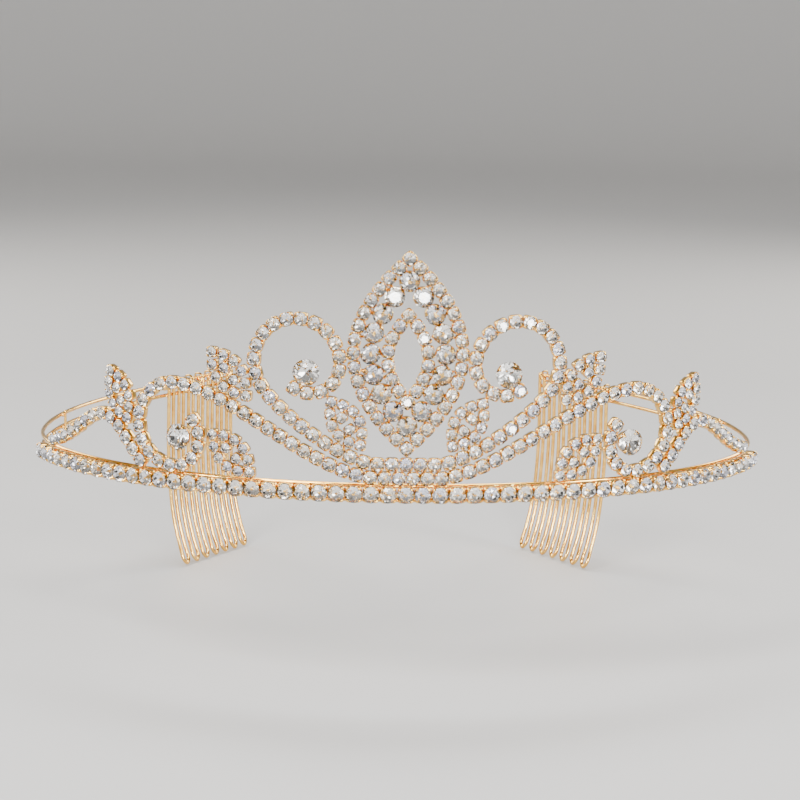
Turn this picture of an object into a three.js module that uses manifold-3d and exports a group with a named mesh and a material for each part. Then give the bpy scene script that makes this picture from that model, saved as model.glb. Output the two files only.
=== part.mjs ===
// Bridal tiara: a two-wire hoop round the head carries a base row of stone cups, two scrolled
// chains, end arches, leaves and a pointed centre motif, and a wire comb is bound to each end.
// Millimetres, +Z up, the front faces -Y.  The origin is the centre of the head opening, in the
// plane midway between the two hoop wires.

import * as THREE from 'three';
import { mergeVertices } from 'three/addons/utils/BufferGeometryUtils.js';
import Module from 'manifold-3d';

const wasm = await Module();
wasm.setup();

// ---- Driving dimensions, mm ----------------------------------------------------------------

const solderGap = 0.3; // clearance between pieces that solder joins

// Plan of the surface that all cup rims lie on: the front half of an ellipse.
const faceHalfWidth = 80;
const faceDepth = 62;

// Square stone cups, and the space from one cup to the next along a chain.
const baseCup = { width: 3.1, depth: 2.0, space: 0.3 };
const smallCup = { width: 2.2, depth: 1.7, space: 0.6 };
const leafCup = { width: 1.85, depth: 1.7 };
const rowGap = 0.6; // between the straight rows at the front
const linkWidth = 1.0;
const linkThickness = 0.5;
const linkInset = 0.15; // from a cup's back to the link's back

// Round cups and the stones in them.
const middleCup = { radius: 1.8, depth: 2.2, rim: 0.15, seatRadius: 1.5, space: 0.49 };
const chatonCup = { radius: 2.5, depth: 2.6, rim: 0.3, seatRadius: 2.1 };
const stoneOverhang = 0.1; // a stone's girdle past its cup's outside
const seatSlope = 0.6; // rise over run of a seat cone and of a stone's lower cone
const seatGap = 0.35; // clearance between the two cones, along the stone's axis
const girdleHeight = 0.25;
const crownSlope = 0.75;
const tableShare = 0.55; // a stone's table over its girdle
const roundSides = 8;

// Centre motif: three pointed-oval rings of cups round an open window.
const innerRing = { halfWidth: 3.95, halfHeight: 8.4 };
const ringGap = 0.45; // between neighbouring rings at their widest
const middleCups = 16; // round the middle ring, whose height follows from them
const outerTipGap = 1.0; // between the end cups of the middle ring and of the outer ring
const ringCupSpace = 0.4; // between the small cups of a ring
const innerRingDrop = 0.9; // of the inner ring's middle below the other two's

// The pattern beside the motif, drawn for one cup pitch: offsets from the motif's edge, and heights
// above the base row.
const patternPitch = 2.8;
const upperScroll = { out: 10.1, up: 23.9, radius: 8.6, curlRadius: 5.9, curlTurn: 135 };
const upperJoinTurn = -38; // where the sweep runs into the scroll, degrees from +X
// Curve handles of the two sweeps: the first in motif half widths, the last in scroll radii.
const lowerSweep = { start: 1.6, startLift: 0.6, finish: 1.6 };
const upperSweep = { start: 1, finish: 0.8 };
const lowerScroll = { out: 36.15, up: 10.0, radius: 8.35, curlRadius: 5.85, curlTurn: 138 };
// A chaton stands inside its scroll's curl: the direction from the curl's centre, in degrees from
// +X, and the clearance between its cup and the curl's cups.
const upperChaton = { turn: -72, gap: 0.51 };
const lowerChaton = { turn: 172.6, gap: 0.69 };
const archFoot = { out: 44.1, up: 1.95 };
const archCrest = { out: 54.2, up: 10.25 };
const archEnd = { out: 74.2, up: 1.95 };
// Curve handles: shares of the run from foot to crest, and from crest to end.
const archRise = { start: { run: 0.4, lift: 0.47 }, finish: 0.39 };
const archFall = { start: 0.25, finish: { run: 0.53, lift: 0.2 } };
const baseRowPastArch = 5.6;
// Cups stand at these shares of a leaf's edges and of its midrib, and one more at each end.
const leafEdgeShares = [0.2, 0.4, 0.6, 0.8];
const leafMidribShares = [0.36, 0.64];
// Root, tip and bulge are of a leaf's outline: the corners of its end cups, and how far the outer
// sides of its edge cups bow out from the line between root and tip.
const leaves = {
  inner: { root: { out: -3.5, up: 7.08 }, tip: { out: 3.85, up: 17.52 }, bulge: 3.53 },
  middle: { root: { out: 19.33, up: 15.87 }, tip: { out: 28.37, up: 26.08 }, bulge: 3.58 },
  lower: { root: { out: 18.32, up: 0.89 }, tip: { out: 28.28, up: 9.61 }, bulge: 3.58 },
  end: { root: { out: 46.87, up: 8.98 }, tip: { out: 52.53, up: 20.37 }, bulge: 3.38 },
};

// Hoop and combs.
const hoopWire = { radius: 0.45, spread: 2.8 };
const combInset = 22; // from the hoop's widest line to a comb's start, across the head
const combBack = 62; // from the head opening's centre to a comb's start
const bendHandle = 0.385; // the bend's curve handles, in shares of combBack
const combHeading = 122; // direction of the right comb from its start, degrees from +X
const teethPerComb = 7;
const toothPitch = 4.2;
const tooth = { radius: 0.45, legSpacing: 1.9, top: 0.3, straight: 18, length: 43, curveIn: 5 };
const binding = { radius: 0.25 };
const crossBar = { radius: 0.3, back: 17, pastWire: 0.3 };
const hoopSides = 6; // facets round each kind of wire
const toothSides = 5;
const bindingSides = 4;
const hoopSteps = { face: 15, bend: 10 }; // stations along half of the hoop

// ---- Values that follow --------------------------------------------------------------------

const baseTop = baseCup.width / 2;
const basePitch = baseCup.width + baseCup.space;
const smallPitch = smallCup.width + smallCup.space;
const lowerRowHeight = baseTop + rowGap + smallCup.width / 2;
const upperRowHeight = lowerRowHeight + smallCup.width + rowGap;
const motifFoot = upperRowHeight + smallCup.width * (0.5 + Math.SQRT1_2) + ringGap;

// Half height of a pointed oval whose two sides are parabolas, from the length of one side.
function ovalHalfHeight(sideLength, halfWidth) {
  const rounds = 40;
  let halfHeight = sideLength / 2;
  for (let i = 0; i < rounds; i += 1) {
    const slope = (2 * halfWidth) / halfHeight;
    halfHeight = sideLength / (Math.hypot(1, slope) + Math.asinh(slope) / slope);
  }
  return halfHeight;
}

const middlePitch = 2 * middleCup.radius + middleCup.space;
const middleHalfWidth = innerRing.halfWidth + smallCup.width / 2 + ringGap + middleCup.radius;
const middleRing = {
  halfWidth: middleHalfWidth,
  halfHeight: ovalHalfHeight((middleCups / 2) * middlePitch, middleHalfWidth),
};
const outerRing = {
  halfWidth: middleRing.halfWidth + middleCup.radius + ringGap + smallCup.width / 2,
  halfHeight: middleRing.halfHeight + middleCup.radius + outerTipGap + smallCup.width * Math.SQRT1_2,
};
const motifMiddle = motifFoot + outerRing.halfHeight;
const motifEdge = outerRing.halfWidth + smallCup.width / 2;

const patternScale = smallPitch / patternPitch;
const patternPoint = ({ out, up }) =>
  new THREE.Vector2(motifEdge + out * patternScale, baseTop + up * patternScale);

const radians = THREE.MathUtils.degToRad;

// The two arcs of a scroll: its outside, and the curl that touches it on the side given.
function scrollArcs(scroll, curlSide) {
  const centre = patternPoint(scroll);
  const radius = scroll.radius * patternScale;
  const curlRadius = scroll.curlRadius * patternScale;
  const curlCentre = centre.clone().addScaledVector(curlSide, radius - curlRadius);
  return { centre, radius, curlCentre, curlRadius };
}

const upperArcs = scrollArcs(upperScroll, new THREE.Vector2(-1, 0));
const lowerArcs = scrollArcs(lowerScroll, new THREE.Vector2(0, -1));

// ---- Materials -----------------------------------------------------------------------------

const gold = new THREE.MeshStandardMaterial({ color: 0xd9a441, roughness: 0.28, metalness: 1 });
const crystal = new THREE.MeshStandardMaterial({ color: 0xf2f4fa, roughness: 0.05, metalness: 0 });

// ---- Solids --------------------------------------------------------------------------------

function solidOf(geometry) {
  const bare = geometry.clone();
  for (const name of Object.keys(bare.attributes)) {
    if (name !== 'position') bare.deleteAttribute(name);
  }
  const merged = mergeVertices(bare);
  const mesh = new wasm.Mesh({
    numProp: 3,
    vertProperties: new Float32Array(merged.attributes.position.array),
    triVerts: new Uint32Array(merged.index.array),
  });
  return new wasm.Manifold(mesh);
}

function join(geometries) {
  const solid = geometries.map(solidOf).reduce((whole, piece) => whole.add(piece));
  const mesh = solid.getMesh();
  const geometry = new THREE.BufferGeometry();
  geometry.setAttribute('position', new THREE.BufferAttribute(mesh.vertProperties, 3));
  geometry.setIndex(new THREE.BufferAttribute(mesh.triVerts, 1));
  geometry.computeVertexNormals();
  return geometry;
}

const tiara = new THREE.Group();

function addNode(name, geometry, material = gold) {
  const mesh = new THREE.Mesh(geometry, material.clone());
  mesh.name = name;
  tiara.add(mesh);
}

// ---- The curved face -----------------------------------------------------------------------

const faceQuarter = new THREE.EllipseCurve(0, 0, faceHalfWidth, faceDepth, -Math.PI / 2, 0);
faceQuarter.arcLengthDivisions = 1000;
const faceQuarterLength = faceQuarter.getLength();
const up = new THREE.Vector3(0, 0, 1);

// Point, direction along the face and outward direction at a distance along the face from the
// front (positive to the wearer's left, +X).
function faceFrame(along) {
  const side = along < 0 ? -1 : 1;
  const share = Math.abs(along) / faceQuarterLength;
  const point = faceQuarter.getPointAt(share);
  const tangent = faceQuarter.getTangentAt(share);
  const direction = new THREE.Vector3(tangent.x, side * tangent.y, 0);
  return {
    point: new THREE.Vector3(side * point.x, point.y, 0),
    direction,
    outward: direction.clone().cross(up),
  };
}

function facePoint({ along, height }, outwardBy = 0) {
  const { point, outward } = faceFrame(along);
  return point.addScaledVector(outward, outwardBy).setZ(height);
}

// A seat is a place for a cup on the face: how far along, how high, and the cup's turn in it.
function seatAt(point, turn = 0) {
  return { along: point.x, height: point.y, turn };
}

const mirrored = (seat) => ({ along: -seat.along, height: seat.height, turn: -seat.turn });

// Local X runs along the chain, Z outwards, and the cup's rim is at Z = 0.
function seatMatrix(seat) {
  const { direction, outward } = faceFrame(seat.along);
  const matrix = new THREE.Matrix4().makeBasis(direction, up, outward);
  matrix.setPosition(facePoint(seat));
  return matrix.multiply(new THREE.Matrix4().makeRotationZ(seat.turn));
}

// ---- Cups, links and stones ----------------------------------------------------------------

function squareCup(seat, cup) {
  const block = new THREE.BoxGeometry(cup.width, cup.width, cup.depth);
  return block.translate(0, 0, -cup.depth / 2).applyMatrix4(seatMatrix(seat));
}

// A bar just inside the backs of two cups, from the middle of one to the middle of the other.
function link(from, to, cup) {
  const middleDepth = -cup.depth + linkInset + linkThickness / 2;
  const start = facePoint(from, middleDepth);
  const end = facePoint(to, middleDepth);
  const direction = end.clone().sub(start);
  const length = direction.length();
  direction.normalize();
  const outward = faceFrame((from.along + to.along) / 2).outward;
  const across = outward.clone().cross(direction).normalize();
  outward.crossVectors(direction, across);
  const matrix = new THREE.Matrix4().makeBasis(across, outward, direction);
  matrix.setPosition(start);
  const section = new THREE.Shape([
    new THREE.Vector2(-linkWidth / 2, -linkThickness / 2),
    new THREE.Vector2(linkWidth / 2, -linkThickness / 2),
    new THREE.Vector2(0, linkThickness / 2),
  ]);
  return new THREE.ExtrudeGeometry(section, { depth: length, bevelEnabled: false })
    .applyMatrix4(matrix);
}

function latheAlongZ(profile) {
  const points = profile.map(([radius, height]) => new THREE.Vector2(radius, height));
  return new THREE.LatheGeometry(points, roundSides)
    .rotateX(Math.PI / 2)
    .rotateZ(Math.PI / roundSides);
}

// A round cup with a conical seat for its stone.
function roundCup(seat, cup) {
  const seatBottom = cup.rim - cup.seatRadius * seatSlope;
  const profile = [
    [0, -cup.depth],
    [cup.radius, -cup.depth],
    [cup.radius, cup.rim],
    [cup.seatRadius, cup.rim],
    [0, seatBottom],
  ];
  return latheAlongZ(profile).applyMatrix4(seatMatrix(seat));
}

// A brilliant stone whose lower cone stands off the seat's cone.
function stone(seat, cup) {
  const radius = cup.radius + stoneOverhang;
  const culet = cup.rim - cup.seatRadius * seatSlope + seatGap;
  const girdle = culet + radius * seatSlope;
  const tableRadius = radius * tableShare;
  const profile = [
    [0, culet],
    [radius, girdle],
    [radius, girdle + girdleHeight],
    [tableRadius, girdle + girdleHeight + (radius - tableRadius) * crownSlope],
    [0, girdle + girdleHeight + (radius - tableRadius) * crownSlope],
  ];
  return latheAlongZ(profile).applyMatrix4(seatMatrix(seat));
}

// Cups in a line, each linked to the next; a closed line is linked back to its start.
function chain(seats, cup, closed = false, makeCup = squareCup) {
  const links = seats.slice(1).map((seat, i) => link(seats[i], seat, cup));
  if (closed) links.push(link(seats[seats.length - 1], seats[0], cup));
  return [...seats.map((seat) => makeCup(seat, cup)), ...links];
}

// Seats at even steps along a flat path, from a start distance on.
function seatsAlong(path, pitch, start = 0) {
  const length = path.getLength();
  const count = Math.floor((length - start) / pitch + 1e-6) + 1;
  return Array.from({ length: count }, (_, i) => {
    const share = (start + i * pitch) / length;
    return seatAt(path.getPoint(share), path.getTangent(share).angle());
  });
}

// The right half of a row or chain and its mirror image, in order from one end to the other.
function bothSides(rightSeats, centreSeats = []) {
  return [...rightSeats.map(mirrored).reverse(), ...centreSeats, ...rightSeats];
}

// ---- Base row ------------------------------------------------------------------------------

const baseRowReach = patternPoint(archEnd).x + baseRowPastArch;
const basePerSide = Math.round(baseRowReach / basePitch);
const baseRight = Array.from({ length: basePerSide }, (_, i) => ({
  along: (i + 1) * basePitch,
  height: 0,
  turn: 0,
}));
const baseSeats = bothSides(baseRight, [{ along: 0, height: 0, turn: 0 }]);
addNode('base_row', join(chain(baseSeats, baseCup)));

// ---- Scrolled chains -----------------------------------------------------------------------

// The lower chain is straight at the front, sweeps up to the scroll's top, runs over its outside
// and curls in under it.
function lowerChainPath() {
  const { centre, radius, curlCentre, curlRadius } = lowerArcs;
  const quarter = Math.PI / 2;
  const curlEnd = -quarter - radians(lowerScroll.curlTurn);
  const path = new THREE.Path();
  path.moveTo(0, lowerRowHeight);
  path.lineTo(motifEdge / 2, lowerRowHeight);
  path.bezierCurveTo(
    motifEdge * lowerSweep.start, lowerRowHeight + lowerSweep.startLift,
    centre.x - radius * lowerSweep.finish, centre.y + radius,
    centre.x, centre.y + radius,
  );
  path.absarc(centre.x, centre.y, radius, quarter, -quarter, true);
  path.absarc(curlCentre.x, curlCentre.y, curlRadius, -quarter, curlEnd, true);
  return path;
}

// The upper chain sweeps up to its scroll's outside, runs over the top and curls in under it.
function upperChainPath() {
  const { centre, radius, curlCentre, curlRadius } = upperArcs;
  const curlEnd = Math.PI + radians(upperScroll.curlTurn);
  const joinTurn = radians(upperJoinTurn);
  const meeting = new THREE.Vector2(Math.cos(joinTurn), Math.sin(joinTurn))
    .multiplyScalar(radius)
    .add(centre);
  const back = new THREE.Vector2(Math.sin(joinTurn), -Math.cos(joinTurn)).multiplyScalar(radius);
  const path = new THREE.Path();
  path.moveTo(0, upperRowHeight);
  path.lineTo(motifEdge / 2, upperRowHeight);
  path.bezierCurveTo(
    motifEdge * upperSweep.start, upperRowHeight,
    meeting.x + back.x * upperSweep.finish, meeting.y + back.y * upperSweep.finish,
    meeting.x, meeting.y,
  );
  path.absarc(centre.x, centre.y, radius, joinTurn, Math.PI, false);
  path.absarc(curlCentre.x, curlCentre.y, curlRadius, Math.PI, curlEnd, false);
  return path;
}

const lowerRight = seatsAlong(lowerChainPath(), smallPitch, smallPitch / 2);
addNode('lower_chain', join(chain(bothSides(lowerRight), smallCup)));

const [upperCentre, ...upperRight] = seatsAlong(upperChainPath(), smallPitch);
addNode('upper_chain', join(chain(bothSides(upperRight, [upperCentre]), smallCup)));

// ---- End arches ----------------------------------------------------------------------------

function archPath() {
  const foot = patternPoint(archFoot);
  const crest = patternPoint(archCrest);
  const end = patternPoint(archEnd);
  const path = new THREE.Path();
  path.moveTo(foot.x, foot.y);
  path.bezierCurveTo(
    foot.x + (crest.x - foot.x) * archRise.start.run,
    foot.y + (crest.y - foot.y) * archRise.start.lift,
    crest.x - (crest.x - foot.x) * archRise.finish, crest.y,
    crest.x, crest.y,
  );
  path.bezierCurveTo(
    crest.x + (end.x - crest.x) * archFall.start, crest.y,
    end.x - (end.x - crest.x) * archFall.finish.run,
    end.y + (crest.y - end.y) * archFall.finish.lift,
    end.x, end.y,
  );
  return path;
}

const archSeats = seatsAlong(archPath(), smallPitch);

// ---- Leaves --------------------------------------------------------------------------------

// A leaf is a rim of cups along two bowed edges between its root and its tip, and a two-cup midrib.
function leafPieces(leaf) {
  const root = patternPoint(leaf.root);
  const tip = patternPoint(leaf.tip);
  const axis = tip.clone().sub(root).normalize();
  root.addScaledVector(axis, leafCup.width * Math.SQRT1_2);
  tip.addScaledVector(axis, -leafCup.width * Math.SQRT1_2);
  const across = new THREE.Vector2(-axis.y, axis.x);
  const middle = root.clone().lerp(tip, 0.5);
  const bulge = leaf.bulge * patternScale - leafCup.width / 2;
  const edges = [1, -1].map((side) => {
    const control = middle.clone().addScaledVector(across, 2 * bulge * side);
    const edge = new THREE.QuadraticBezierCurve(root, control, tip);
    return leafEdgeShares.map((share) =>
      seatAt(edge.getPointAt(share), edge.getTangentAt(share).angle()),
    );
  });
  const [rootSeat, tipSeat] = [root, tip].map((end) => seatAt(end, axis.angle() + Math.PI / 4));
  const midrib = leafMidribShares.map((share) =>
    seatAt(root.clone().lerp(tip, share), axis.angle()),
  );
  return { rim: [rootSeat, ...edges[0], tipSeat, ...edges[1].reverse()], midrib };
}

function leafGeometry({ rim, midrib }) {
  const tipSeat = rim[rim.length / 2];
  const ribLine = [rim[0], ...midrib, tipSeat];
  const ribLinks = ribLine.slice(1).map((seat, i) => link(ribLine[i], seat, leafCup));
  const ribCups = midrib.map((seat) => squareCup(seat, leafCup));
  return join([...chain(rim, leafCup, true), ...ribCups, ...ribLinks]);
}

const sides = { left: mirrored, right: (seat) => seat };

for (const [side, place] of Object.entries(sides)) {
  addNode(`${side}_end_arch`, join(chain(archSeats.map(place), smallCup)));
  for (const [name, leaf] of Object.entries(leaves)) {
    const { rim, midrib } = leafPieces(leaf);
    const placed = { rim: rim.map(place), midrib: midrib.map(place) };
    addNode(`${side}_${name}_leaf`, leafGeometry(placed));
  }
}

// ---- Chatons in the scrolls ----------------------------------------------------------------

function chatonSeat(arcs, chaton) {
  const reach = arcs.curlRadius - smallCup.width / 2 - chatonCup.radius - chaton.gap;
  const turn = radians(chaton.turn);
  const offset = new THREE.Vector2(Math.cos(turn), Math.sin(turn)).multiplyScalar(reach);
  return seatAt(offset.add(arcs.curlCentre));
}

const chatonSeats = {
  upper: chatonSeat(upperArcs, upperChaton),
  lower: chatonSeat(lowerArcs, lowerChaton),
};

for (const [side, place] of Object.entries(sides)) {
  for (const [name, chatonPlace] of Object.entries(chatonSeats)) {
    const seat = place(chatonPlace);
    addNode(`${side}_${name}_chaton_cup`, roundCup(seat, chatonCup));
    addNode(`${side}_${name}_chaton`, stone(seat, chatonCup), crystal);
  }
}

// ---- Centre motif --------------------------------------------------------------------------

// Even seats round a pointed oval, starting at its foot: as many to a side as is said, or as fit.
function ringSeats(ring, middleHeight, pitch, stepsPerSide = 0) {
  const foot = new THREE.Vector2(0, middleHeight - ring.halfHeight);
  const top = new THREE.Vector2(0, middleHeight + ring.halfHeight);
  const control = new THREE.Vector2(2 * ring.halfWidth, middleHeight);
  const side = new THREE.QuadraticBezierCurve(foot, control, top);
  const steps = stepsPerSide || Math.floor(side.getLength() / pitch);
  const right = Array.from({ length: steps - 1 }, (_, i) => {
    const share = (i + 1) / steps;
    return seatAt(side.getPointAt(share), side.getTangentAt(share).angle());
  });
  const left = right.map(mirrored).reverse();
  return [seatAt(foot, Math.PI / 4), ...right, seatAt(top, Math.PI / 4), ...left];
}

const ringCupPitch = smallCup.width + ringCupSpace;
const outerSeats = ringSeats(outerRing, motifMiddle, ringCupPitch);
const middleSeats = ringSeats(middleRing, motifMiddle, middlePitch, middleCups / 2);
const innerSeats = ringSeats(innerRing, motifMiddle - innerRingDrop, ringCupPitch);

addNode('motif_outer_ring', join(chain(outerSeats, smallCup, true)));
addNode('motif_middle_ring', join(chain(middleSeats, middleCup, true, roundCup)));
addNode('motif_inner_ring', join(chain(innerSeats, smallCup, true)));
middleSeats.forEach((seat, i) => {
  addNode(`motif_stone_${i + 1}`, stone(seat, middleCup), crystal);
});

// ---- Wires ---------------------------------------------------------------------------------

// A curve through given stations, so that a tube has one section at each of them.
class StationCurve extends THREE.Curve {
  constructor(stations) {
    super();
    this.stations = stations;
  }

  getPoint(share, target = new THREE.Vector3()) {
    const place = share * (this.stations.length - 1);
    const index = Math.min(Math.floor(place), this.stations.length - 2);
    return target.lerpVectors(this.stations[index], this.stations[index + 1], place - index);
  }

  getPointAt(share, target) {
    return this.getPoint(share, target);
  }

  getTangentAt(share, target = new THREE.Vector3()) {
    const last = this.stations.length - 1;
    const index = Math.round(share * last);
    const before = this.stations[Math.max(index - 1, 0)];
    const after = this.stations[Math.min(index + 1, last)];
    return target.subVectors(after, before).normalize();
  }
}

function wire(stations, radius, sideCount) {
  const section = new THREE.Shape();
  for (let i = 0; i < sideCount; i += 1) {
    const turn = (i / sideCount) * 2 * Math.PI;
    const point = [radius * Math.cos(turn), radius * Math.sin(turn)];
    if (i === 0) section.moveTo(...point);
    else section.lineTo(...point);
  }
  return new THREE.ExtrudeGeometry(section, {
    steps: stations.length - 1,
    extrudePath: new StationCurve(stations),
  });
}

// ---- Hoop ----------------------------------------------------------------------------------

const hoopInset = baseCup.depth + solderGap + hoopWire.radius;
const combDirection = new THREE.Vector3(
  Math.cos(radians(combHeading)), Math.sin(radians(combHeading)), 0,
);
const combInward = up.clone().cross(combDirection);
const combStart = new THREE.Vector3(faceHalfWidth - hoopInset - combInset, combBack, 0);
const combLength = (teethPerComb - 1) * toothPitch + tooth.legSpacing + 2 * tooth.radius;

// The right half of the hoop's plan: along the face to its widest point, in a smooth bend to the
// comb, and straight along the comb.
function hoopPlan() {
  const onFace = Array.from({ length: hoopSteps.face + 1 }, (_, i) =>
    facePoint({ along: (i / hoopSteps.face) * faceQuarterLength, height: 0 }, -hoopInset),
  );
  const widest = onFace[hoopSteps.face];
  const reach = combBack * bendHandle;
  const bend = new THREE.CubicBezierCurve3(
    widest,
    widest.clone().add(new THREE.Vector3(0, reach, 0)),
    combStart.clone().addScaledVector(combDirection, -reach),
    combStart,
  );
  const end = combStart.clone().addScaledVector(combDirection, combLength);
  return { onFace, bend, bendStations: bend.getPoints(hoopSteps.bend).slice(1), end };
}

const plan = hoopPlan();
const hoopRight = [...plan.onFace.slice(1), ...plan.bendStations, plan.end];
const flip = (point) => new THREE.Vector3(-point.x, point.y, point.z);
const hoopStations = [...hoopRight.map(flip).reverse(), plan.onFace[0], ...hoopRight];

function hoopAt(height) {
  return hoopStations.map((point) => point.clone().setZ(height));
}

addNode('hoop_upper_wire', wire(hoopAt(hoopWire.spread / 2), hoopWire.radius, hoopSides));
addNode('hoop_lower_wire', wire(hoopAt(-hoopWire.spread / 2), hoopWire.radius, hoopSides));

// ---- Cross bars, combs and their bindings --------------------------------------------------

const toothInset = hoopWire.radius + solderGap + tooth.radius;

// Place on the right comb: distance along it, distance inwards from the hoop, and height.
function combPoint(along, inward, height) {
  return combStart
    .clone()
    .addScaledVector(combDirection, along)
    .addScaledVector(combInward, inward)
    .setZ(height);
}

const toothPlace = (index) => tooth.radius + tooth.legSpacing / 2 + index * toothPitch;

// A tooth is one hairpin of wire: straight legs that bow inwards to a rounded tip.
function toothStations(index) {
  const middle = toothPlace(index);
  const half = tooth.legSpacing / 2;
  const top = hoopWire.spread / 2 + tooth.top;
  const bowLength = tooth.length - tooth.straight;
  const bowShares = [0, 0.5, 0.8]; // stations along the bowed part of a leg
  const legHeights = bowShares.map((share) => -tooth.straight - share * bowLength);
  const tipBend = [0, 90, 180].map(radians);
  const bowAt = (height) => {
    const share = Math.max(0, (-height - tooth.straight) / bowLength);
    return toothInset + tooth.curveIn * share * share;
  };
  const leg = (side) =>
    [top, ...legHeights].map((height) => combPoint(middle + side * half, bowAt(height), height));
  const tip = tipBend.map((turn) => {
    const height = -tooth.length + half - half * Math.sin(turn);
    return combPoint(middle - half * Math.cos(turn), bowAt(height), height);
  });
  return [...leg(-1), ...tip, ...leg(1).reverse()];
}

// The binding winds round the upper hoop wire and the tooth tops, and passes between the teeth.
function bindingStations() {
  const stationsPerTurn = 6;
  const chordReach = 1 / Math.cos(Math.PI / stationsPerTurn);
  const clear = binding.radius + solderGap;
  const wireReach = Math.max(hoopWire.radius, tooth.radius, tooth.top);
  const acrossRadius = (toothInset / 2 + wireReach + clear) * chordReach;
  const upRadius = (wireReach + clear) * chordReach;
  const start = toothPlace(0) - toothPitch / 2;
  return Array.from({ length: teethPerComb * stationsPerTurn + 1 }, (_, i) => {
    const turn = (i / stationsPerTurn) * 2 * Math.PI;
    return combPoint(
      start + (i / stationsPerTurn) * toothPitch,
      toothInset / 2 + acrossRadius * Math.sin(turn),
      hoopWire.spread / 2 - upRadius * Math.cos(turn),
    );
  });
}

// A short upright on the inner side of both wires, where the hoop starts to close in.
function crossBarStations() {
  const searchSteps = 200;
  const shares = Array.from({ length: searchSteps }, (_, i) => i / searchSteps);
  const share = shares.find((value) => plan.bend.getPoint(value).y >= crossBar.back);
  const tangent = plan.bend.getTangent(share);
  const inward = up.clone().cross(tangent);
  const inset = hoopWire.radius + solderGap + crossBar.radius;
  const reach = hoopWire.spread / 2 + hoopWire.radius + crossBar.pastWire;
  const place = plan.bend.getPoint(share).addScaledVector(inward, inset);
  return [place.clone().setZ(-reach), place.clone().setZ(reach)];
}

const wireSides = { left: (stations) => stations.map(flip), right: (stations) => stations };

for (const [side, place] of Object.entries(wireSides)) {
  addNode(`${side}_cross_bar`, wire(place(crossBarStations()), crossBar.radius, hoopSides));
  addNode(`${side}_comb_binding`, wire(place(bindingStations()), binding.radius, bindingSides));
  for (let i = 0; i < teethPerComb; i += 1) {
    const stations = place(toothStations(i));
    addNode(`${side}_comb_tooth_${i + 1}`, wire(stations, tooth.radius, toothSides));
  }
}

export default tiara;
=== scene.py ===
"""The looks of a bridal tiara: smooth gold wire, pronged stone cups and faceted crystals.

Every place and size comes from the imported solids: a cup's flat rim gives its seat, and a wire's
sections give its centre line.  Lengths are in metres unless a name ends in MM.
"""

import math
import bpy
import numpy as np
from mathutils import Euler, Matrix, Vector


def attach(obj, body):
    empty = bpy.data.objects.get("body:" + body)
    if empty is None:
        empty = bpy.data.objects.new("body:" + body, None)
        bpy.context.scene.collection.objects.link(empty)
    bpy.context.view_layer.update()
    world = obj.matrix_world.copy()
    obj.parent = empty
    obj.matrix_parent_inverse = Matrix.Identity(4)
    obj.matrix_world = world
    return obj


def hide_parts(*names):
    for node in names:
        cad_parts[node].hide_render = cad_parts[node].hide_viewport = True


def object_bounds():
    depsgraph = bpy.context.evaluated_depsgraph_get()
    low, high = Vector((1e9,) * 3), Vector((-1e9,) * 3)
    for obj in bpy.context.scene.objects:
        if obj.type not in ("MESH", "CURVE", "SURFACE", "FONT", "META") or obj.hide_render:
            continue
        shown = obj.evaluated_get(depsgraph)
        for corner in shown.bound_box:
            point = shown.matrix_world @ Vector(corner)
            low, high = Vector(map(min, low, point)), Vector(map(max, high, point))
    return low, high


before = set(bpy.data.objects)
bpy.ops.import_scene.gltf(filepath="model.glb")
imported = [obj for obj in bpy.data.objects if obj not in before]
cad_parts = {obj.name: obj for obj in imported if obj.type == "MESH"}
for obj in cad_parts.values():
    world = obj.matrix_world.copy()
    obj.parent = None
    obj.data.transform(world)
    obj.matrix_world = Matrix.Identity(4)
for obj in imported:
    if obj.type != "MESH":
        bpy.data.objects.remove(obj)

cad_box = [list(corner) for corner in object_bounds()]

MM = 0.001
draws = np.random.default_rng(11)

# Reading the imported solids.
UPRIGHT = 0.02  # how far a rim's normal may lean from level
FACING_OUT = 0.9  # how nearly a rim has to face away from the head opening's axis
WIDTH_TOLERANCE = 0.12  # of a cup's width from the usual width of its node
ROUND_RIM_CORNERS = 16  # a round cup's rim is a flat ring of two octagons

CUP_POINTS = 32  # round a cup's outline
GEM_FOLD = 8
WIRE_SIDES = 12
LINK_SIDES = 8

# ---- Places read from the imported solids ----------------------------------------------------


def welded(name):
    """A node's distinct vertices, and its triangles as rows of three indices."""
    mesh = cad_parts[name].data
    mesh.calc_loop_triangles()
    raw = np.array([v.co[:] for v in mesh.vertices])
    corners = np.array([t.vertices[:] for t in mesh.loop_triangles])
    _, first, back = np.unique(
        np.round(raw * 2e6).astype(int), axis=0, return_index=True, return_inverse=True
    )
    triangles = back.reshape(-1)[corners]
    distinct = (
        (triangles[:, 0] != triangles[:, 1])
        & (triangles[:, 1] != triangles[:, 2])
        & (triangles[:, 0] != triangles[:, 2])
    )
    return raw[first], triangles[distinct]


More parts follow.
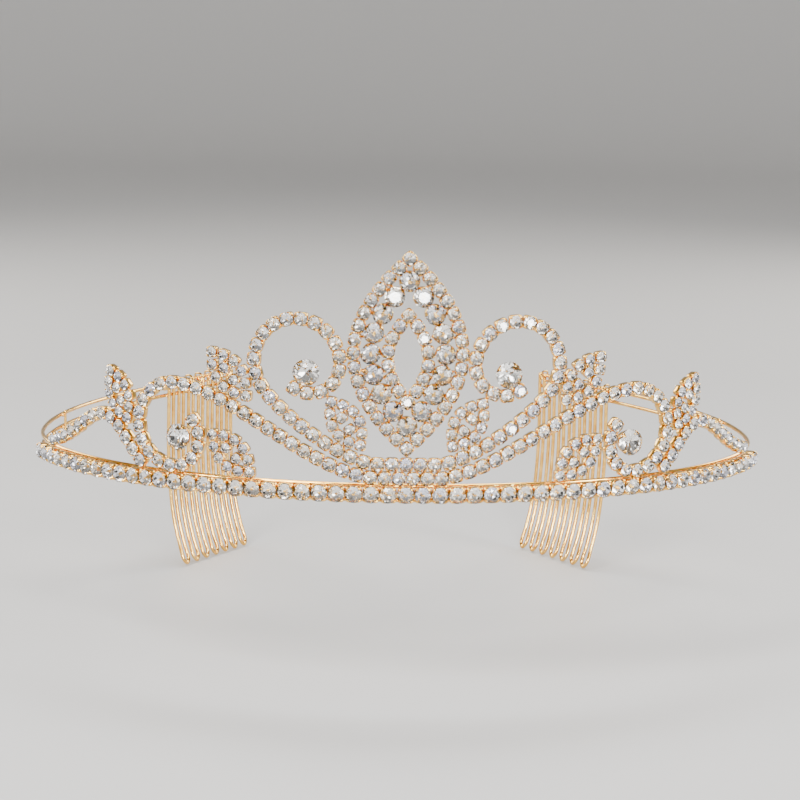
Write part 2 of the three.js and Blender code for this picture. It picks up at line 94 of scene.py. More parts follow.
def flat_faces(name):
    """Groups of touching triangles in one plane: (vertex indices, normal) for each."""
    verts, triangles = welded(name)
    a, b, c = (verts[triangles[:, i]] for i in range(3))
    cross = np.cross(b - a, c - a)
    area = np.linalg.norm(cross, axis=1)
    solid = area > 1e-12
    triangles, a = triangles[solid], a[solid]
    normals = cross[solid] / area[solid][:, None]
    planes = {}
    for row, normal in enumerate(normals):
        offset = round(float(normal @ a[row]) / (0.02 * MM))
        for near in (offset, offset + 1):
            planes.setdefault((*np.round(normal, 2), near), []).append(row)
    parent = list(range(len(triangles)))

    def root(i):
        while parent[i] != i:
            parent[i] = parent[parent[i]]
            i = parent[i]
        return i

    for rows in planes.values():
        by_vertex = {}
        for row in rows:
            for vertex in triangles[row]:
                other = by_vertex.setdefault(vertex, row)
                if normals[other] @ normals[row] > 0.9999:
                    parent[root(row)] = root(other)
    groups = {}
    for row in range(len(triangles)):
        groups.setdefault(root(row), []).append(row)
    faces = []
    for rows in groups.values():
        used = np.unique(triangles[rows])
        faces.append((used, normals[rows[0]]))
    return verts, faces


def rim_extent(points, normal):
    """Centre, direction and width of the square that flat points span, from their longest edge."""
    across = np.cross(normal, (0, 0, 1.0))
    across /= np.linalg.norm(across)
    flat = np.column_stack([(points - points[0]) @ across, (points - points[0])[:, 2]])
    best = None
    for i in range(len(flat)):
        for j in range(i + 1, len(flat)):
            edge = flat[j] - flat[i]
            length = np.linalg.norm(edge)
            if length < 0.3 * MM:
                continue
            edge /= length
            side = (flat - flat[i]) @ (-edge[1], edge[0])
            if side.min() < -0.01 * MM and side.max() > 0.01 * MM:
                continue
            if best is None or length > best[0]:
                best = (length, edge)
    edge = best[1]
    other = np.array([-edge[1], edge[0]])
    along, up = flat @ edge, flat @ other
    centre = edge * (along.min() + along.max()) / 2 + other * (up.min() + up.max()) / 2
    vertical = np.cross(across, normal) * (1 if np.cross(across, normal)[2] > 0 else -1)
    place = points[0] + across * centre[0] + vertical * centre[1]
    return place, across * edge[0] + vertical * edge[1], max(np.ptp(along), np.ptp(up))


def seats(name, sides=4):
    """(centre, along, outward, width) of each cup of a node, from its flat rim."""
    verts, faces = flat_faces(name)
    found = []
    for used, normal in faces:
        points = verts[used]
        radial = points.mean(axis=0) * (1, 1, 0)
        radial /= np.linalg.norm(radial)
        if abs(normal[2]) > UPRIGHT or normal @ radial < FACING_OUT:
            continue
        if sides == 4 and len(used) >= 4:
            found.append((*rim_extent(points, normal), normal, len(used)))
        elif sides == 8 and len(used) >= ROUND_RIM_CORNERS:
            centre = points.mean(axis=0)
            reach = np.linalg.norm(points - centre, axis=1).max()
            found.append((centre, np.cross((0, 0, 1.0), normal), 2 * reach, normal, len(used)))
    usual = np.median([width for _, _, width, _, _ in found])
    out = []

    def is_new(centre):
        return all(np.linalg.norm(centre - seat[0]) > usual / 2 for seat in out)

    for centre, along, width, normal, _ in sorted(found, key=lambda rim: -rim[4]):
        if abs(width / usual - 1) < WIDTH_TOLERANCE and is_new(centre):
            along = along - normal * (along @ normal)
            out.append((centre, along / np.linalg.norm(along), normal, usual))
    # A node that spans both sides is symmetric, so a rim found on one side is on the other too.
    if not name.startswith(("left_", "right_")):
        flip = np.array((-1.0, 1.0, 1.0))
        for centre, along, normal, width in list(out):
            if is_new(centre * flip):
                out.append((centre * flip, along * flip, normal * flip, width))
    out.sort(key=lambda seat: tuple(np.round(seat[0], 6)))
    return out


def centre_line(name):
    """The centres of a wire's sections from end to end, and the wire's radius."""
    verts, faces = flat_faces(name)
    _, triangles = welded(name)
    near = {}
    for triangle in triangles:
        for i in triangle:
            near.setdefault(i, set()).update(triangle)
    spread = [np.linalg.norm(verts[u] - verts[u].mean(axis=0), axis=1).max() for u, _ in faces]
    ring = set(faces[int(np.argmin(spread))][0])
    seen = set(ring)
    centres = []
    radius = None
    while ring:
        points = verts[sorted(ring)]
        centres.append(points.mean(axis=0))
        if radius is None:
            radius = np.linalg.norm(points - centres[0], axis=1).mean()
        ring = set().union(*(near[i] for i in ring)) - seen
        seen |= ring
    return np.array(centres), radius


# ---- Mesh building -------------------------------------------------------------------------


class Build:
    """Collects vertices and faces for one piece."""

    def __init__(self):
        self.verts = []
        self.faces = []
        self.kinds = []

    def add(self, verts, faces, kind=0):
        base = len(self.verts)
        self.verts.extend(map(tuple, verts))
        self.faces.extend(tuple(base + i for i in face) for face in faces)
        self.kinds.extend([kind] * len(faces) if isinstance(kind, int) else kind)

    def piece(self, name, materials, replaced=(), smooth=True):
        mesh = bpy.data.meshes.new(name)
        mesh.from_pydata(self.verts, [], self.faces)
        for material in materials:
            mesh.materials.append(material)
        mesh.polygons.foreach_set("material_index", self.kinds)
        mesh.polygons.foreach_set("use_smooth", [smooth] * len(mesh.polygons))
        mesh.update()
        obj = bpy.data.objects.new(name, mesh)
        bpy.context.scene.collection.objects.link(obj)
        if smooth:
            mesh.set_sharp_from_angle(angle=math.radians(50))
        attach(obj, "root")
        if replaced:
            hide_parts(*replaced)


def ring_faces(rings, count):
    """Quads between rings of `count` vertices, and a flat face over each end."""
    faces = []
    for ring in range(rings - 1):
        for i in range(count):
            j = (i + 1) % count
            a, b = ring * count, (ring + 1) * count
            faces.append((a + i, a + j, b + j, b + i))
    faces.append(tuple(reversed(range(count))))
    faces.append(tuple(range((rings - 1) * count, rings * count)))
    return faces


def smooth_path(points, steps):
    """A centripetal Catmull-Rom curve through points, with `steps` samples to each span."""
    points = np.vstack([2 * points[0] - points[1], points, 2 * points[-1] - points[-2]])
    out = []
    for i in range(1, len(points) - 2):
        p = points[i - 1 : i + 3]
        knots = [0.0]
        for j in range(3):
            knots.append(knots[-1] + math.sqrt(np.linalg.norm(p[j + 1] - p[j])))
        last = i == len(points) - 3
        for step in range(steps + (1 if last else 0)):
            t = knots[1] + (knots[2] - knots[1]) * step / steps
            a = [
                ((knots[j + 1] - t) * p[j] + (t - knots[j]) * p[j + 1]) / (knots[j + 1] - knots[j])
                for j in range(3)
            ]
            b = [
                ((knots[j + 2] - t) * a[j] + (t - knots[j]) * a[j + 1]) / (knots[j + 2] - knots[j])
                for j in range(2)
            ]
            out.append(((knots[2] - t) * b[0] + (t - knots[1]) * b[1]) / (knots[2] - knots[1]))
    return np.array(out)


def tube(build, path, radius, sides=WIRE_SIDES, rounded=True):
    """A round wire along a path, with domed ends."""
    tangents = np.gradient(path, axis=0)
    tangents /= np.linalg.norm(tangents, axis=1)[:, None]
    if rounded:
        first, last = path[0], path[-1]
        dome = [(0.38, 0.92), (0.75, 0.66), (0.95, 0.3)]
        head = [first - tangents[0] * radius * out for out, _ in reversed(dome)]
        tail = [last + tangents[-1] * radius * out for out, _ in dome]
        path = np.vstack([head, path, tail])
        tangents = np.vstack([[tangents[0]] * 3, tangents, [tangents[-1]] * 3])
        scale = [s for _, s in reversed(dome)] + [1] * (len(path) - 6) + [s for _, s in dome]
    else:
        scale = [1] * len(path)
    side = np.cross(tangents[0], (0, 0, 1))
    if np.linalg.norm(side) < 0.1:
        side = np.cross(tangents[0], (0, 1, 0))
    verts = []
    for point, tangent, share in zip(path, tangents, scale):
        side = side - tangent * (side @ tangent)
        side /= np.linalg.norm(side)
        other = np.cross(tangent, side)
        for i in range(sides):
            turn = 2 * math.pi * i / sides
            verts.append(point + radius * share * (math.cos(turn) * side + math.sin(turn) * other))
    build.add(verts, ring_faces(len(path), sides))


def placed(local, seat, tilt=None):
    """Local points, Z outwards from the rim, moved to a seat."""
    centre, along, outward, _ = seat
    basis = np.column_stack([along, np.cross(outward, along), outward])
    if tilt is not None:
        local = local @ tilt.T
    return local @ basis.T + centre


def small_turn(spin, lean):
    """A slight random turn of a hand-set stone or cup, as a 3x3 array."""
    angles = (draws.normal(0, lean), draws.normal(0, lean), draws.uniform(-spin, spin))
    return np.array(Euler(angles).to_matrix())


# ---- Cups ----------------------------------------------------------------------------------

CORNER_SPREAD = math.radians(13)


def cup_mesh(depth, squareness):
    """A stamped cup one unit wide: scalloped walls and four prongs bent in over the stone.

    Corners lie on the diagonals.  `depth` is in widths, and squareness 2 gives a round cup.
    """
    half = 0.5
    rows = []
    # (share of outline, height) halfway along a side, then at a prong.
    sections = [
        ((0.80, -depth), (0.78, -depth)),
        ((0.97, -depth + 0.09), (0.97, -depth + 0.09)),
        ((1.00, -0.30), (1.00, -0.25)),
        ((1.00, -0.15), (0.97, -0.04)),
        ((0.985, -0.115), (0.90, 0.065)),
        ((0.955, -0.115), (0.72, 0.115)),
        ((0.935, -0.135), (0.68, 0.090)),
        ((0.915, -0.20), (0.80, 0.000)),
        ((0.88, -0.34), (0.86, -0.30)),
        ((0.45, -0.46), (0.45, -0.46)),
    ]
    for between, prong in sections:
        for i in range(CUP_POINTS):
            turn = 2 * math.pi * i / CUP_POINTS
            c, s = abs(math.cos(turn)), abs(math.sin(turn))
            outline = half / (c**squareness + s**squareness) ** (1 / squareness)
            away = (turn % (math.pi / 2)) - math.pi / 4
            w = math.exp(-((away / CORNER_SPREAD) ** 2))
            share = between[0] + (prong[0] - between[0]) * w
            height = between[1] + (prong[1] - between[1]) * w
            rows.append((outline * share * math.cos(turn), outline * share * math.sin(turn), height))
    return np.array(rows), ring_faces(len(sections), CUP_POINTS)


def gallery_mesh(depth):
    """A tall round cup for a large stone: a foot ring, a waist, four claws and open arches."""
    half = 0.5
    points = 48
    sections = [
        ((0.66, -depth), (0.66, -depth)),
        ((0.74, -depth + 0.05), (0.74, -depth + 0.05)),
        ((0.72, -depth + 0.13), (0.72, -depth + 0.13)),
        ((0.86, -0.30), (0.90, -0.28)),
        ((0.98, -0.15), (1.02, -0.06)),
        ((1.00, -0.08), (1.03, 0.06)),
        ((0.97, -0.055), (0.96, 0.135)),
        ((0.93, -0.065), (0.80, 0.165)),
        ((0.90, -0.11), (0.78, 0.130)),
        ((0.86, -0.20), (0.92, 0.020)),
        ((0.62, -0.34), (0.66, -0.30)),
        ((0.30, -0.42), (0.30, -0.42)),
    ]
    rows = []
    for between, prong in sections:
        for i in range(points):
            turn = 2 * math.pi * i / points
            away = (turn % (math.pi / 2)) - math.pi / 4
            w = math.exp(-((away / math.radians(12)) ** 2))
            share = between[0] + (prong[0] - between[0]) * w
            height = between[1] + (prong[1] - between[1]) * w
            rows.append((half * share * math.cos(turn), half * share * math.sin(turn), height))
    return np.array(rows), ring_faces(len(sections), points)


# ---- Stones --------------------------------------------------------------------------------

CRYSTAL, FOIL = 0, 1


def gem_mesh(girdle, crown, pavilion, table_share=0.56):
    """A round brilliant of radius 1: heights are in radii, and `girdle` is its lower edge."""
    top = girdle + 0.05
    step = 2 * math.pi / GEM_FOLD

    def ring(count, radius, height, offset=0.0):
        turn = 2 * math.pi / count
        return [
            (radius * math.cos(turn * i + offset), radius * math.sin(turn * i + offset), height)
            for i in range(count)
        ]

    star_radius = (1 + table_share) / 2 + 0.02
    star_height = top + crown * 0.56
    verts = ring(GEM_FOLD, table_share, top + crown)
    verts += ring(GEM_FOLD, star_radius, star_height, step / 2)
    verts += ring(2 * GEM_FOLD, 1, top)
    verts += ring(2 * GEM_FOLD, 1, girdle)
    verts += ring(GEM_FOLD, 0.5, girdle - pavilion * 0.56, step / 2)
    verts.append((0, 0, girdle - pavilion))
    table, star, upper = 0, GEM_FOLD, 2 * GEM_FOLD
    lower, under, culet = 4 * GEM_FOLD, 6 * GEM_FOLD, 7 * GEM_FOLD
    faces = [tuple(range(GEM_FOLD))]
    kinds = [CRYSTAL]
    rim = 2 * GEM_FOLD
    for i in range(GEM_FOLD):
        j = (i + 1) % GEM_FOLD
        h = (i - 1) % GEM_FOLD
        a, b, c = 2 * i, 2 * i + 1, (2 * i + 2) % rim
        crown_faces = [
            (table + j, table + i, star + i),
            (table + i, star + h, upper + a, star + i),
            (star + i, upper + a, upper + b),
            (star + i, upper + b, upper + c),
            (upper + a, lower + a, lower + b, upper + b),
            (upper + b, lower + b, lower + c, upper + c),
        ]
        pavilion_faces = [
            (under + i, lower + b, lower + a),
            (under + i, lower + c, lower + b),
            (under + h, under + i, lower + a),
            (under + i, under + h, culet),
        ]
        faces += crown_faces + pavilion_faces
        kinds += [CRYSTAL] * len(crown_faces) + [FOIL] * len(pavilion_faces)
    return np.array(verts), faces, kinds


# ---- Materials -----------------------------------------------------------------------------


def new_material(name):
    material = bpy.data.materials.new(name)
    material.use_nodes = True
    tree = material.node_tree
    shader = tree.nodes["Principled BSDF"]
    return material, tree, shader


def add_node(tree, kind, **values):
    node = tree.nodes.new(kind)
    for key, value in values.items():
        node.inputs[key].default_value = value
    return node


def colour_ramp(tree, source, stops):
    ramp = tree.nodes.new("ShaderNodeValToRGB")
    while len(ramp.color_ramp.elements) < len(stops):
        ramp.color_ramp.elements.new(0.5)
    for element, (place, colour) in zip(ramp.color_ramp.elements, stops):
        element.position = place
        element.color = (*colour, 1)
    tree.links.new(source, ramp.inputs["Fac"])
    return ramp.outputs["Color"]


def gold(name, roughness, grain, drawn=False):
    """Polished gold plate: uneven tone, fine pitting, and drawn lines along a wire if asked."""
    material, tree, shader = new_material(name)
    shader.inputs["Metallic"].default_value = 1.0
    coords = tree.nodes.new("ShaderNodeTexCoord").outputs["Object"]
    tone = add_node(tree, "ShaderNodeTexNoise", Scale=420.0, Detail=4.0, Roughness=0.6)
    tree.links.new(coords, tone.inputs["Vector"])
    stops = [(0.3, (0.62, 0.31, 0.05)), (0.5, (0.84, 0.48, 0.10)), (0.72, (0.95, 0.64, 0.20))]
    colour = colour_ramp(tree, tone.outputs["Fac"], stops)
    tree.links.new(colour, shader.inputs["Base Color"])
    wear = add_node(tree, "ShaderNodeTexNoise", Scale=1500.0, Detail=3.0, Roughness=0.55)
    tree.links.new(coords, wear.inputs["Vector"])
    rough = tree.nodes.new("ShaderNodeMapRange")
    rough.inputs["To Min"].default_value = roughness * 0.6
    rough.inputs["To Max"].default_value = roughness * 1.5
    tree.links.new(wear.outputs["Fac"], rough.inputs["Value"])
    tree.links.new(rough.outputs["Result"], shader.inputs["Roughness"])
    pits = add_node(tree, "ShaderNodeTexNoise", Scale=grain, Detail=2.0, Roughness=0.5)
    if drawn:
        stretch = tree.nodes.new("ShaderNodeMapping")
        stretch.inputs["Scale"].default_value = (1.0, 1.0, 0.12)
        tree.links.new(coords, stretch.inputs["Vector"])
        tree.links.new(stretch.outputs["Vector"], pits.inputs["Vector"])
    else:
        tree.links.new(coords, pits.inputs["Vector"])
    bump = tree.nodes.new("ShaderNodeBump")
    bump.inputs["Strength"].default_value = 0.22
    bump.inputs["Distance"].default_value = 0.03 * MM
    tree.links.new(pits.outputs["Fac"], bump.inputs["Height"])
    tree.links.new(bump.outputs["Normal"], shader.inputs["Normal"])
    return material


def crystal(name, tint):
    """Clear machine-cut glass with faint tone differences from stone to stone."""
    material, tree, shader = new_material(name)
    island = tree.nodes.new("ShaderNodeNewGeometry").outputs["Random Per Island"]
    stops = [(0.0, tint), (0.55, (1.0, 1.0, 1.0)), (1.0, (1.0, 0.985, 0.95))]
    tree.links.new(colour_ramp(tree, island, stops), shader.inputs["Base Color"])
    coords = tree.nodes.new("ShaderNodeTexCoord").outputs["Object"]
    haze = add_node(tree, "ShaderNodeTexNoise", Scale=900.0, Detail=2.0)
    tree.links.new(coords, haze.inputs["Vector"])
    rough = tree.nodes.new("ShaderNodeMapRange")
    rough.inputs["From Min"].default_value = 0.45
    rough.inputs["From Max"].default_value = 0.8
    rough.inputs["To Min"].default_value = 0.0
    rough.inputs["To Max"].default_value = 0.05
    tree.links.new(haze.outputs["Fac"], rough.inputs["Value"])
    tree.links.new(rough.outputs["Result"], shader.inputs["Roughness"])
    shader.inputs["IOR"].default_value = 1.6
    shader.inputs["Transmission Weight"].default_value = 1.0
    return material


def foil(name):
    """The mirror backing on a stone's lower facets."""
    material, tree, shader = new_material(name)
    shader.inputs["Metallic"].default_value = 1.0
    shader.inputs["Roughness"].default_value = 0.06
    island = tree.nodes.new("ShaderNodeNewGeometry").outputs["Random Per Island"]
    stops = [(0.0, (0.90, 0.91, 0.95)), (0.5, (0.97, 0.97, 0.96)), (1.0, (0.98, 0.95, 0.90))]
    tree.links.new(colour_ramp(tree, island, stops), shader.inputs["Base Color"])
    return material


cup_gold = gold("cup_gold", 0.20, 2600.0)
wire_gold = gold("wire_gold", 0.16, 1800.0, drawn=True)
solder_gold = gold("solder_gold", 0.26, 3400.0)
clear_crystal = crystal("clear_crystal", (0.90, 0.91, 1.0))
large_crystal = crystal("large_crystal", (0.97, 0.97, 1.0))
mirror_foil = foil("mirror_foil")

# ---- Chains, leaves and rings --------------------------------------------------------------

nodes = sorted(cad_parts)
chain_names = ["base_row", "lower_chain", "upper_chain", "motif_outer_ring", "motif_inner_ring"]
chain_names += [n for n in nodes if n.endswith("_leaf") or n.endswith("_end_arch")]
motif_stones = [n for n in nodes if n.startswith("motif_stone_")]

STONE_SPIN = math.radians(22)
STONE_LEAN = math.radians(2.6)
CUP_SPIN = 0.03
CUP_LEAN = 0.02
SQUARE_CUP = 5.0  # squareness of a cup's outline
ROUND_CUP = 2.6
SQUARE_LINK_REACH = 1.32  # neighbours are linked within this many cup widths
ROUND_LINK_REACH = 1.25
SMALL_CUP_DEPTH = 1.7 * MM
BASE_CUP_DEPTH = 2.0 * MM
ROUND_CUP_DEPTH = 2.2 * MM
GALLERY_DEPTH = 2.6 * MM
ROUND_CUP_GROWTH = 1.08

small_gem = gem_mesh(girdle=-0.04, crown=0.34, pavilion=0.62)
large_gem = gem_mesh(girdle=0.02, crown=0.38, pavilion=0.66)
all_seats = {}


def link_pairs(places, reach):
    """Index pairs of cups close enough to be linked."""
    pairs = []
    for i in range(len(places)):
        for j in range(i + 1, len(places)):
            width = (places[i][3] + places[j][3]) / 2
            if np.linalg.norm(places[i][0] - places[j][0]) < reach * width:
                pairs.append((i, j))
    return pairs


def back_link(build, one, two, depth, thickness):
    """A short bar behind two neighbouring cups."""
    start = one[0] - one[2] * depth
    end = two[0] - two[2] * depth
    tube(build, np.linspace(start, end, 3), thickness, LINK_SIDES, rounded=False)


def set_stones(name, places, gem, radius_share, materials, replaced=()):
    build = Build()
    local, faces, kinds = gem
    for seat in places:
        turn = small_turn(STONE_SPIN, STONE_LEAN)
        build.add(placed(local * seat[3] / 2 * radius_share, seat, turn), faces, kinds)
    build.piece(name, materials, replaced, smooth=False)


cup_depth = {"base_row": BASE_CUP_DEPTH}
# The prongs stand a little outside the plain CAD cups.
cup_growth = {"base_row": 1.07, "motif_outer_ring": 1.17, "motif_inner_ring": 1.17}
LEAF_GROWTH = 1.18
CHAIN_GROWTH = 1.23
for name in chain_names:
    places = seats(name)
    all_seats[name] = places
    depth = cup_depth.get(name, SMALL_CUP_DEPTH)
    width = places[0][3]
    grow = cup_growth.get(name, LEAF_GROWTH if name.endswith("_leaf") else CHAIN_GROWTH)
    local, faces = cup_mesh(depth / (width * grow), SQUARE_CUP)
    build = Build()
    for seat in places:
        build.add(placed(local * seat[3] * grow, seat, small_turn(CUP_SPIN, CUP_LEAN)), faces)
    for i, j in link_pairs(places, SQUARE_LINK_REACH):
        back_link(build, places[i], places[j], depth * 0.62, width * 0.13)
    build.piece(f"{name}_cups", [cup_gold], [name])
    set_stones(f"{name}_stones", places, small_gem, 0.98 * grow, [clear_crystal, mirror_foil])

places = seats("motif_middle_ring", 8)
all_seats["motif_middle_ring"] = places
local, faces = cup_mesh(ROUND_CUP_DEPTH / places[0][3], ROUND_CUP)
build = Build()
for seat in places:
    turn = np.array(Matrix.Rotation(draws.uniform(0, math.pi / 2), 3, "Z"))
    build.add(placed(local * seat[3] * ROUND_CUP_GROWTH, seat, turn), faces)
for i, j in link_pairs(places, ROUND_LINK_REACH):
    back_link(build, places[i], places[j], 1.4 * MM, 0.42 * MM)
build.piece("motif_middle_cups", [cup_gold], ["motif_middle_ring"])
set_stones(
    "motif_stones", places, small_gem, 1.1, [clear_crystal, mirror_foil], motif_stones
)

# ---- Large stones in the scrolls -----------------------------------------------------------

for side in ("left", "right"):
    for level in ("upper", "lower"):
        cup_name = f"{side}_{level}_chaton_cup"
        seat = seats(cup_name, 8)[0]
        all_seats[cup_name] = [seat]
        local, faces = gallery_mesh(GALLERY_DEPTH / seat[3])
        build = Build()
        turn = np.array(Matrix.Rotation(draws.uniform(-0.3, 0.3), 3, "Z"))
        build.add(placed(local * seat[3], seat, turn), faces)
        build.piece(f"{side}_{level}_gallery_cup", [cup_gold], [cup_name])
        set_stones(
            f"{side}_{level}_brilliant",
            [seat],
            large_gem,
            1.06,
            [large_crystal, mirror_foil],
            [f"{side}_{level}_chaton"],
        )

# ---- Solder between neighbouring rows ------------------------------------------------------


def bead(build, centre, size, outward, along):
    """A low blob of solder."""
    rings, count = 5, 10
    basis = np.column_stack([along, np.cross(outward, along), outward])
    verts = []
    for ring in range(rings):
        lift = math.pi * (ring + 0.5) / rings - math.pi / 2
        for i in range(count):
            turn = 2 * math.pi * i / count
            local = np.array(
                [
                    math.cos(turn) * math.cos(lift) * size[0],
                    math.sin(turn) * math.cos(lift) * size[1],
                    math.sin(lift) * size[2],
                ]
            )
            verts.append(basis @ local + centre)
    build.add(verts, ring_faces(rings, count))


SOLDER_SEARCH = 4.2 * MM  # between the middles of two cups
SOLDER_REACH = 1.37  # cups of two rows are soldered within this many mean widths
SOLDER_SIZE = np.array([0.55, 0.42, 0.5]) * MM
SOLDER_INSET = 0.9 * MM  # behind the rims

solder = Build()
rows = [(name, seat) for name, places in all_seats.items() for seat in places]
points = np.array([seat[0] for _, seat in rows])
for i, (name, seat) in enumerate(rows):
    gaps = np.linalg.norm(points[i + 1 :] - seat[0], axis=1)
    for j in np.flatnonzero(gaps < SOLDER_SEARCH) + i + 1:
        other_name, other = rows[j]
        reach = (seat[3] + other[3]) / 2
        gap = np.linalg.norm(other[0] - seat[0])
        if other_name == name or gap > SOLDER_REACH * reach:
            continue
        middle = (seat[0] + other[0]) / 2
        direction = (other[0] - seat[0]) / gap
        outward = seat[2] + other[2]
        outward -= direction * (direction @ outward)
        outward /= np.linalg.norm(outward)
        size = draws.uniform(0.85, 1.15, 3) * SOLDER_SIZE
        bead(solder, middle - outward * SOLDER_INSET, size, outward, direction)

# ---- Wires ---------------------------------------------------------------------------------

hoop = {}
for level in ("upper", "lower"):
    stations, radius = centre_line(f"hoop_{level}_wire")
    hoop[level] = smooth_path(stations, 6)
    build = Build()
    tube(build, hoop[level], radius)
    build.piece(f"{level}_hoop", [wire_gold], [f"hoop_{level}_wire"])

for side in ("left", "right"):
    stations, radius = centre_line(f"{side}_cross_bar")
    build = Build()
    tube(build, smooth_path(stations, 4), radius)
    build.piece(f"{side}_upright", [wire_gold], [f"{side}_cross_bar"])
    for end in stations:
        level = "upper" if end[2] > 0 else "lower"
        wire = hoop[level]
        nearest = wire[np.argmin(np.linalg.norm((wire - end) * (1, 1, 0), axis=1))]
        middle = np.array([(end[0] + nearest[0]) / 2, (end[1] + nearest[1]) / 2, nearest[2]])
        across = (end - nearest) * (1, 1, 0)
        across /= np.linalg.norm(across)
        size = np.array([0.45, 0.55, 0.45]) * MM
        bead(solder, middle, size, np.array([0.0, 0, 1]), across)

    teeth = [n for n in nodes if n.startswith(f"{side}_comb_tooth_")]
    build = Build()
    for name in teeth:
        stations, radius = centre_line(name)
        tube(build, smooth_path(stations, 7), radius)
        for end in (stations[0], stations[-1]):
            for level, wire in hoop.items():
                nearest = wire[np.argmin(np.linalg.norm((wire - end) * (1, 1, 0), axis=1))]
                across = (end - nearest) * (1, 1, 0)
                across /= np.linalg.norm(across)
                middle = (end + nearest) / 2
                middle[2] = nearest[2]
                size = draws.uniform(0.9, 1.1, 3) * np.array([0.5, 0.5, 0.42]) * MM
                bead(solder, middle, size, np.array([0.0, 0, 1]), across)
    build.piece(f"{side}_comb", [wire_gold], teeth)

    stations, radius = centre_line(f"{side}_comb_binding")
    build = Build()
    tube(build, smooth_path(stations, 5), radius, 10)
    build.piece(f"{side}_binding", [wire_gold], [f"{side}_comb_binding"])

solder.piece("solder_beads", [solder_gold])

# ---- Studio --------------------------------------------------------------------------------

low, high = (Vector(corner) for corner in cad_box)


def floor_material():
    """Pale and plain, with painted light: darker in the middle, where the lamps' light pools, and a
    little lighter towards its edge, where less of the light falls.
    """
    material, tree, shader = new_material("pale_floor_painted_light")
    coords = tree.nodes.new("ShaderNodeTexCoord").outputs["Object"]
    reach = tree.nodes.new("ShaderNodeVectorMath")
    reach.operation = "LENGTH"
    tree.links.new(coords, reach.inputs[0])
    share = tree.nodes.new("ShaderNodeMapRange")
    share.inputs["From Min"].default_value = 0.4
    share.inputs["From Max"].default_value = 2.2
    tree.links.new(reach.outputs["Value"], share.inputs["Value"])
    # Painted light: the colour runs from dark in the middle, under the lamps, to light at the edge
    # and wall, to even out the lamps' falloff.
    stops = [(0.0, (0.40, 0.397, 0.393)), (1.0, (0.90, 0.895, 0.885))]
    tree.links.new(
        colour_ramp(tree, share.outputs["Result"], stops), shader.inputs["Base Color"]
    )
    shader.inputs["Roughness"].default_value = 0.6
    return material


# The floor is flat in the middle and turns up at its edge, so that no horizon shows.
FLOOR_FLAT = 1.6
FLOOR_BEND = 1.0
FLOOR_WALL = 0.9
FLOOR_SIDES = 72
BEND_STEPS = 12
FLOOR_DROP = 0.0004  # below the lowest point of the tiara

profile = [(0.4, 0.0), (0.9, 0.0), (FLOOR_FLAT, 0.0)]
for step in range(1, BEND_STEPS + 1):
    bend = math.pi / 2 * step / BEND_STEPS
    profile.append((FLOOR_FLAT + FLOOR_BEND * math.sin(bend), FLOOR_BEND * (1 - math.cos(bend))))
profile.append((FLOOR_FLAT + FLOOR_BEND, FLOOR_BEND + FLOOR_WALL))
turns = [2 * math.pi * i / FLOOR_SIDES for i in range(FLOOR_SIDES)]
verts = [
    (radius * math.cos(turn), radius * math.sin(turn), height)
    for radius, height in profile
    for turn in turns
]
faces = [tuple(range(FLOOR_SIDES))]
for ring in range(len(profile) - 1):
    for i in range(FLOOR_SIDES):
        j = (i + 1) % FLOOR_SIDES
        start = ring * FLOOR_SIDES
        faces.append((start + i, start + FLOOR_SIDES + i, start + FLOOR_SIDES + j, start + j))
floor_mesh = bpy.data.meshes.new("floor")
floor_mesh.from_pydata(verts, [], faces)
floor_mesh.polygons.foreach_set("use_smooth", [True] * len(floor_mesh.polygons))
floor_mesh.materials.append(floor_material())
floor = bpy.data.objects.new("floor", floor_mesh)
floor.location.z = low.z - FLOOR_DROP
bpy.context.scene.collection.objects.link(floor)

world = bpy.data.worlds.new("studio")
world.use_nodes = True
world.node_tree.nodes["Background"].inputs["Color"].default_value = (0.88, 0.86, 0.84, 1)
world.node_tree.nodes["Background"].inputs["Strength"].default_value = 0.27
bpy.context.scene.world = world

middle = (low + high) / 2


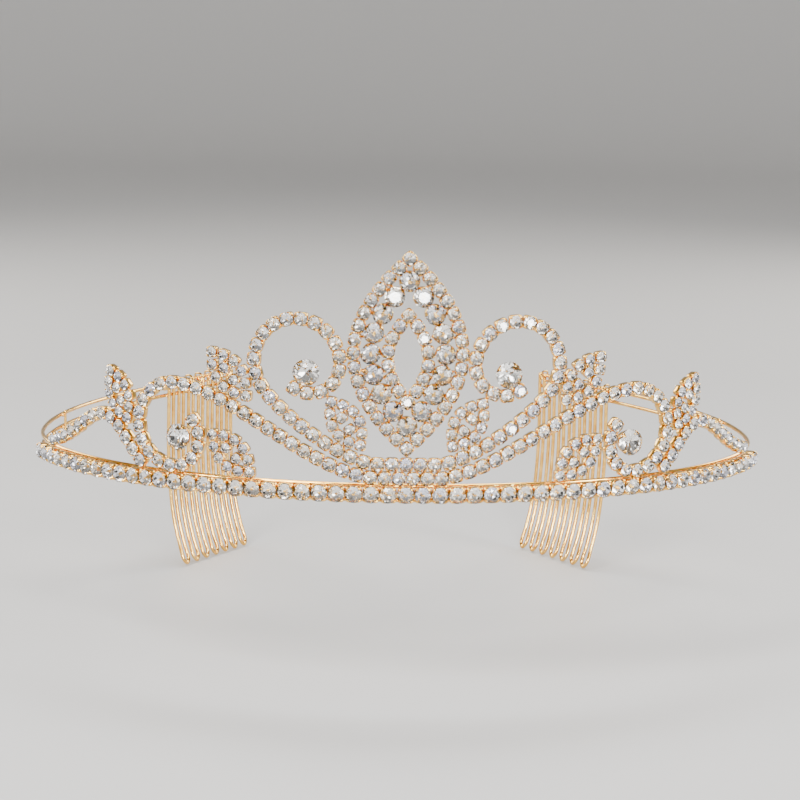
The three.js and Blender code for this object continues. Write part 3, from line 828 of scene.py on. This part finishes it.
def softbox(name, place, size, power, colour=(1, 1, 1)):
    light = bpy.data.lights.new(name, "AREA")
    light.shape = "RECTANGLE"
    light.size, light.size_y = size
    light.energy = power
    light.color = colour
    obj = bpy.data.objects.new(name, light)
    obj.location = middle + Vector(place)
    obj.rotation_euler = (middle - obj.location).to_track_quat("-Z", "Y").to_euler()
    bpy.context.scene.collection.objects.link(obj)


softbox("key", (-0.35, -0.55, 0.60), (0.26, 0.26), 10.0, (1.0, 0.98, 0.96))
softbox("fill", (0.60, -0.45, 0.30), (0.22, 0.34), 6.0, (1.0, 0.99, 0.98))
softbox("top", (0.0, 0.15, 0.75), (0.50, 0.30), 8.0)
softbox("low_front", (0.05, -0.80, 0.06), (0.12, 0.08), 3.2)
softbox("high_front", (0.12, -0.70, 0.42), (0.10, 0.10), 4.0)
softbox("left_front", (-0.62, -0.52, 0.12), (0.10, 0.14), 3.6)
softbox("right_front", (0.36, -0.72, 0.02), (0.08, 0.12), 2.8)
softbox("back_left", (-0.55, 0.55, 0.35), (0.30, 0.40), 5.0, (1.0, 0.95, 0.88))
softbox("back_right", (0.55, 0.60, 0.35), (0.30, 0.40), 5.0, (1.0, 0.95, 0.88))

# The camera looks at the front of the base row from a little above.
VIEW_DOWN = math.radians(11.8)
VIEW_YAW = math.radians(-2.2)
VIEW_ROLL = math.radians(1.05)
AIM_SIDE = math.radians(0.19)
VIEW_DISTANCE = 0.450
AIM_ABOVE = math.radians(2.37)

front = Vector((0, min(seat[0][1] for seat in all_seats["base_row"]), 0))
camera_data = bpy.data.cameras.new("camera")
camera_data.lens = 104.2
camera_data.sensor_width = 36
camera_data.clip_start = 0.01
camera = bpy.data.objects.new("camera", camera_data)
away = Vector((math.sin(VIEW_YAW), -math.cos(VIEW_YAW), 0)) * math.cos(VIEW_DOWN)
away.z = math.sin(VIEW_DOWN)
camera.location = front + away * VIEW_DISTANCE
pitch = math.pi / 2 - VIEW_DOWN + AIM_ABOVE
turn = Matrix.Rotation(VIEW_YAW + AIM_SIDE, 3, "Z") @ Matrix.Rotation(pitch, 3, "X")
camera.rotation_euler = (turn @ Matrix.Rotation(VIEW_ROLL, 3, "Z")).to_euler()
bpy.context.scene.collection.objects.link(camera)
bpy.context.scene.camera = camera

bpy.context.view_layer.update()
